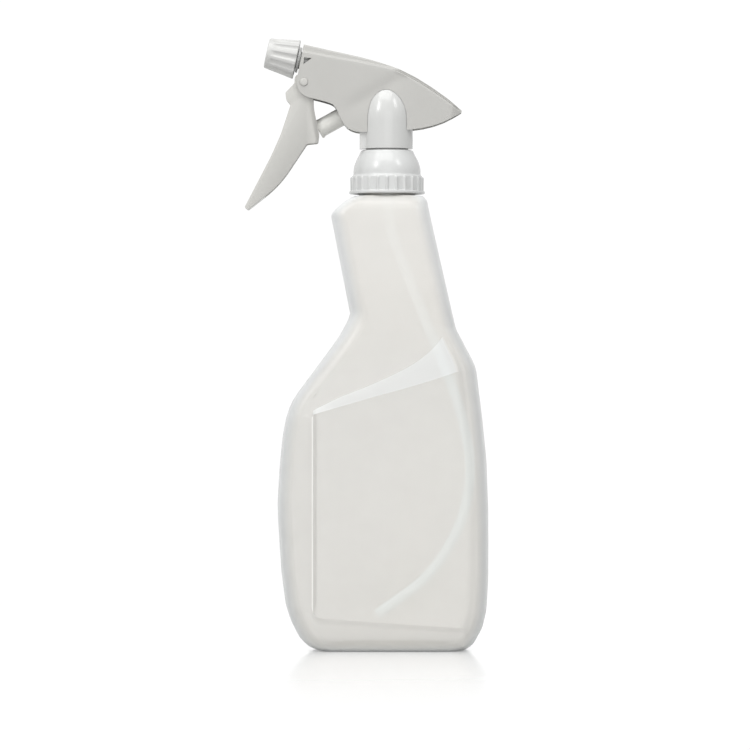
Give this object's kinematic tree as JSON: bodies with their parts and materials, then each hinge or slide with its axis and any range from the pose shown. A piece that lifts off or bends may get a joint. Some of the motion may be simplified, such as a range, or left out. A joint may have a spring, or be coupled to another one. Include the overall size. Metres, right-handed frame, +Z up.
{
  "type": "spray bottle",
  "caption": "Free-standing trigger spray bottle: waisted translucent bottle, screw-on pump head with squeeze trigger, dip tube and adjustable nozzle.",
  "frame": {"origin": "centre of the standing surface, directly under the neck axis", "axes": "+Z up along the neck axis, -X towards the nozzle and trigger, the object is symmetric about the plane Y = 0"},
  "size_m": [0.1096, 0.056, 0.2748],
  "materials": {
    "bottle_plastic": "translucent natural polyethylene, satin",
    "head_plastic": "white polypropylene, glossy moulded",
    "tube_plastic": "translucent polyethylene tube",
    "seal_rubber": "soft pale elastomer",
    "valve_steel": "polished stainless steel ball",
    "spring_steel": "drawn stainless spring wire"
  },
  "bodies": {
    "bottle": {"bottle": "bottle_plastic"},
    "head": {"neck_gasket": "seal_rubber", "inlet_seat": "head_plastic", "dip_tube": "tube_plastic", "pump_body": "head_plastic", "outlet_seat": "head_plastic", "shroud": "head_plastic", "return_spring": "spring_steel", "swirl_insert": "head_plastic"},
    "collar": {"collar": "head_plastic"},
    "trigger": {"trigger": "head_plastic"},
    "piston": {"piston": "head_plastic", "piston_cup_seal": "seal_rubber", "piston_wiper_seal": "seal_rubber"},
    "inlet_ball": {"inlet_ball": "valve_steel"},
    "outlet_ball": {"outlet_ball": "valve_steel"},
    "nozzle_seal": {"nozzle_oring": "seal_rubber"},
    "nozzle": {"nozzle_cap": "head_plastic", "orifice_disc": "head_plastic"}
  },
  "joints": [
    {"name": "head_lift", "type": "slide", "parent": "bottle", "child": "head", "axis": [0, 0, 1], "range_m": [0, 0.00528]},
    {"name": "collar_turn", "type": "hinge", "parent": "head", "child": "collar", "pos_m": [0, 0, 0.2086], "axis": [0, 0, 1], "range_deg": [0, 450]},
    {"name": "trigger_pull", "type": "hinge", "parent": "head", "child": "trigger", "pos_m": [-0.0373, 0, 0.2547], "axis": [0, -1, 0], "range_deg": [0, 22]},
    {"name": "piston_stroke", "type": "slide", "parent": "head", "child": "piston", "axis": [0.8746, 0, 0.4848], "range_m": [0, 0.00846], "stiffness_N_per_m": 200, "springref_m": -0.02, "deforming": ["return_spring"]},
    {"name": "nozzle_advance", "type": "slide", "parent": "head", "child": "nozzle_seal", "axis": [-0.9765, 0, 0.2156], "range_m": [0, 0.002]},
    {"name": "nozzle_turn", "type": "hinge", "parent": "nozzle_seal", "child": "nozzle", "pos_m": [-0.0406, 0, 0.2652], "axis": [-0.9765, 0, 0.2156], "range_deg": [0, 450]},
    {"name": "inlet_valve", "type": "slide", "parent": "head", "child": "inlet_ball", "axis": [0, 0, 1], "range_m": [0, 0.0012]},
    {"name": "outlet_valve", "type": "slide", "parent": "head", "child": "outlet_ball", "axis": [-0.9765, 0, 0.2156], "range_m": [0, 0.0012]}
  ],
  "couplings": [
    {"joint": "collar_turn", "follows": "head_lift", "rad_per_m": 1485.4},
    {"joint": "trigger_pull", "follows": "piston_stroke", "rad_per_m": 45.383},
    {"joint": "nozzle_turn", "follows": "nozzle_advance", "rad_per_m": 3927}
  ]
}
